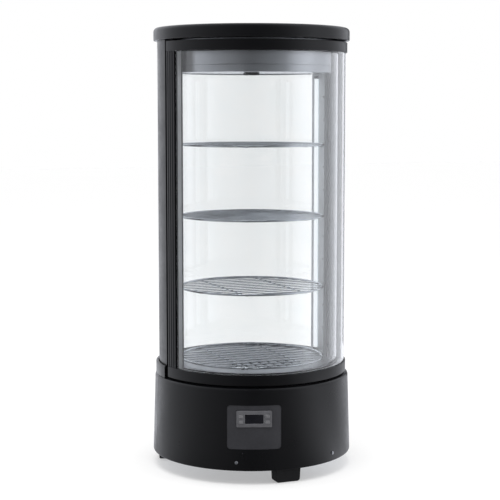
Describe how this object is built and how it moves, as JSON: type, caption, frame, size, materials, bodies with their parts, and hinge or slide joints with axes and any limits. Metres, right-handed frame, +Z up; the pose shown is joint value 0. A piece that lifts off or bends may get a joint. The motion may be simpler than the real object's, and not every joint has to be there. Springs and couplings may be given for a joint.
{
  "type": "refrigerated display case",
  "caption": "Round countertop refrigerated display case: curved double glazed door, fixed rear glass, wire shelves, black cap and base with control panel and feet.",
  "frame": {"origin": "centre of the circle that the base covers, on the table under the feet", "axes": "+Z up along the case's axis, -Y out of the middle of the door, +X towards the door's hinges"},
  "size_m": [0.456, 0.456, 0.996],
  "materials": {
    "satin_black": "satin black paint",
    "black_moulding": "satin black moulding",
    "charcoal": "charcoal moulded panel",
    "bezel_grey": "grey moulded bezel",
    "dark_window": "dark gloss window",
    "button_grey": "grey soft button",
    "brushed_steel": "brushed stainless steel",
    "aluminium": "satin anodised",
    "chromed_wire": "bright chromed wire",
    "clear_glass": "clear float glass",
    "white_panel": "white coated sheet",
    "lamp_diffuser": "milky lamp diffuser",
    "black_rubber": "matt rubber",
    "seal_grey": "matt seal",
    "zinc_sheet": "galvanised sheet",
    "copper_pipe": "bare copper tube",
    "dark_plastic": "dark moulded plastic",
    "black_iron": "black enamelled steel drum"
  },
  "bodies": {
    "cabinet": {"foot_1": "black_rubber", "foot_2": "black_rubber", "foot_3": "black_rubber", "cable_gland": "black_rubber", "left_post_seal": "black_rubber", "right_post_seal": "black_rubber", "base_pan": "zinc_sheet", "head_plate": "zinc_sheet", "evaporator_fan_motor": "zinc_sheet", "condenser_fan_motor": "zinc_sheet", "base_front_shell": "satin_black", "base_rear_cover": "satin_black", "rear_collar": "satin_black", "top_cap": "satin_black", "left_post": "black_moulding", "right_post": "black_moulding", "rear_bottom_rail": "black_moulding", "rear_top_rail": "black_moulding", "insulated_deck": "dark_plastic", "sensor_pod": "dark_plastic", "compressor": "black_iron", "cabinet_floor": "brushed_steel", "front_valance": "brushed_steel", "rear_valance": "brushed_steel", "lower_hinge_plate": "brushed_steel", "upper_hinge_plate": "brushed_steel", "control_panel": "charcoal", "controller_housing": "bezel_grey", "controller_window": "dark_window", "left_post_lining": "aluminium", "right_post_lining": "aluminium", "rear_spacer": "aluminium", "evaporator_coil": "aluminium", "condenser_coil": "aluminium", "left_lamp": "lamp_diffuser", "right_lamp": "lamp_diffuser", "rear_outer_glass": "clear_glass", "rear_inner_glass": "clear_glass", "ceiling_panel": "white_panel", "shelf_1": "chromed_wire", "shelf_2": "chromed_wire", "shelf_3": "chromed_wire", "shelf_4": "chromed_wire", "suction_pipe": "copper_pipe", "discharge_pipe": "copper_pipe"},
    "door": {"door_bottom_rail": "black_moulding", "door_top_rail": "black_moulding", "door_hinge_stile": "black_moulding", "door_handle_stile": "black_moulding", "door_outer_glass": "clear_glass", "door_inner_glass": "clear_glass", "door_spacer": "aluminium", "door_bottom_seal": "seal_grey", "door_top_seal": "seal_grey"},
    "evaporator_fan": {"evaporator_fan": "dark_plastic"},
    "condenser_fan": {"condenser_fan": "dark_plastic"},
    "controller_button_1": {"controller_button_1": "button_grey"},
    "controller_button_2": {"controller_button_2": "button_grey"},
    "controller_button_3": {"controller_button_3": "button_grey"},
    "controller_button_4": {"controller_button_4": "button_grey"}
  },
  "joints": [
    {"name": "door_hinge", "type": "hinge", "parent": "cabinet", "child": "door", "pos_m": [0.19759, -0.042, 0.2165], "axis": [0, 0, 1], "range_deg": [0, 110]},
    {"name": "evaporator_fan_spin", "type": "hinge", "parent": "cabinet", "child": "evaporator_fan", "pos_m": [0, -0.075, 0.1415], "axis": [0, 0, 1], "continuous": true},
    {"name": "condenser_fan_spin", "type": "hinge", "parent": "cabinet", "child": "condenser_fan", "pos_m": [-0.09191, 0.1048, 0.0878], "axis": [0, 1, 0], "continuous": true},
    {"name": "button_1_press", "type": "slide", "parent": "cabinet", "child": "controller_button_1", "axis": [0.3535, 0.9354, 0], "range_m": [0, 0.0008], "stiffness_N_per_m": 400},
    {"name": "button_2_press", "type": "slide", "parent": "cabinet", "child": "controller_button_2", "axis": [0.3535, 0.9354, 0], "range_m": [0, 0.0008], "stiffness_N_per_m": 400},
    {"name": "button_3_press", "type": "slide", "parent": "cabinet", "child": "controller_button_3", "axis": [0.3535, 0.9354, 0], "range_m": [0, 0.0008], "stiffness_N_per_m": 400},
    {"name": "button_4_press", "type": "slide", "parent": "cabinet", "child": "controller_button_4", "axis": [0.3535, 0.9354, 0], "range_m": [0, 0.0008], "stiffness_N_per_m": 400}
  ]
}
